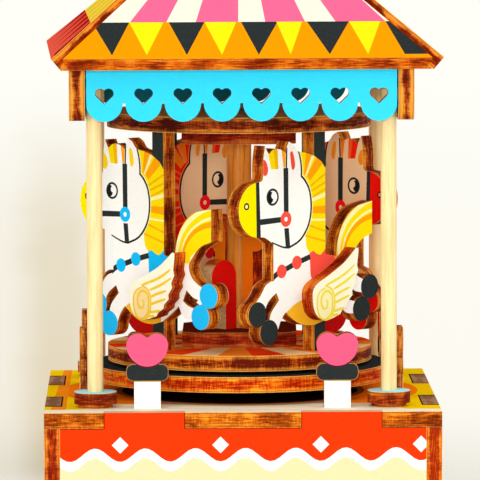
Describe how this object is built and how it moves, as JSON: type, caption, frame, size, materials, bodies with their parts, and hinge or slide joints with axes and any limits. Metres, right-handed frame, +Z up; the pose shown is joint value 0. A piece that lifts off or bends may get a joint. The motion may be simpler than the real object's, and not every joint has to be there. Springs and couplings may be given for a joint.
{
  "type": "carousel music box",
  "caption": "Plywood carousel music box: winged horses on poles turn between pillars under a scalloped valance and pyramid roof, over a base with a wind-up movement.",
  "frame": {"origin": "on the ground under the middle of the square base", "axes": "+Z up, -Y towards the front of the base, +X to the right when seen from the front"},
  "size_m": [0.1012, 0.1012, 0.1827],
  "materials": {
    "base_plywood": "printed plywood, satin, with laser-burnt edges",
    "bare_plywood": "bare plywood with laser-burnt edges",
    "post_plywood": "printed plywood, satin, with laser-burnt edges",
    "dowel": "bare beech, satin",
    "collar": "printed plywood, satin, with laser-burnt edges",
    "valance_plywood": "printed plywood, satin, with laser-burnt edges",
    "roof_plywood": "printed plywood, satin, with laser-burnt edges",
    "disc_plywood": "plywood with printed faces and laser-burnt edges",
    "column_dowel": "stained beech, satin",
    "scroll_plywood": "printed plywood, satin, with laser-burnt edges",
    "white_horse": "printed plywood, satin, with laser-burnt edges",
    "brown_horse": "printed plywood, satin, with laser-burnt edges",
    "wing_plywood": "printed plywood, satin, with laser-burnt edges",
    "movement_brass": "brushed",
    "movement_steel": "brushed",
    "movement_bed": "cast, satin"
  },
  "bodies": {
    "housing": {"base_top_plate": "base_plywood", "base_front_panel": "base_plywood", "base_back_panel": "base_plywood", "base_left_panel": "base_plywood", "base_right_panel": "base_plywood", "base_bottom_panel": "bare_plywood", "front_heart_posts": "post_plywood", "back_heart_posts": "post_plywood", "left_heart_posts": "post_plywood", "right_heart_posts": "post_plywood", "pillar_front_left": "dowel", "pillar_front_right": "dowel", "pillar_back_left": "dowel", "pillar_back_right": "dowel", "pillar_collars": "collar", "ceiling_plate": "bare_plywood", "valance_front": "valance_plywood", "valance_back": "valance_plywood", "valance_left": "valance_plywood", "valance_right": "valance_plywood", "roof_front": "roof_plywood", "roof_back": "roof_plywood", "roof_left": "roof_plywood", "roof_right": "roof_plywood", "finial": "dowel", "shaft_bush": "movement_brass", "top_bush": "movement_brass", "movement_bedplate": "movement_bed", "mounting_screws": "movement_steel", "cylinder_bearings": "movement_brass", "comb_block": "movement_bed", "comb": "movement_steel", "comb_screws": "movement_steel", "governor_bracket": "movement_brass"},
    "carousel": {"spring_barrel": "movement_brass", "mainspring": "movement_steel", "crown_gear": "movement_brass", "output_shaft": "movement_steel", "hub_flange": "movement_brass", "lower_disc": "disc_plywood", "disc_spacer": "disc_plywood", "turntable": "disc_plywood", "lower_hub_block": "disc_plywood", "column": "column_dowel", "centre_scrolls": "scroll_plywood", "upper_hub_block": "disc_plywood", "upper_ring": "disc_plywood", "top_pivot_pin": "movement_steel", "horse_front_left": "white_horse", "horse_front_right": "white_horse", "horse_back_left": "brown_horse", "horse_back_right": "brown_horse", "horse_wings": "wing_plywood"},
    "cylinder": {"pinned_cylinder": "movement_brass", "cylinder_arbor": "movement_steel", "cylinder_pinion": "movement_brass", "cylinder_wheel": "movement_brass"},
    "governor": {"governor_worm": "movement_steel", "governor_fly": "movement_brass"},
    "winding_key": {"winding_key": "movement_steel"}
  },
  "joints": [
    {"name": "carousel_spin", "type": "hinge", "parent": "housing", "child": "carousel", "pos_m": [0, 0, 0], "axis": [0, 0, 1], "continuous": true},
    {"name": "cylinder_spin", "type": "hinge", "parent": "housing", "child": "cylinder", "pos_m": [0, 0, 0.0225], "axis": [1, 0, 0], "continuous": true},
    {"name": "governor_spin", "type": "hinge", "parent": "housing", "child": "governor", "pos_m": [0.04, 0.008, 0], "axis": [0, 0, 1], "continuous": true},
    {"name": "key_wind", "type": "hinge", "parent": "housing", "child": "winding_key", "pos_m": [0, 0, 0], "axis": [0, 0, 1], "continuous": true}
  ],
  "couplings": [
    {"joint": "cylinder_spin", "follows": "carousel_spin", "ratio": -3},
    {"joint": "governor_spin", "follows": "carousel_spin", "ratio": 48}
  ]
}
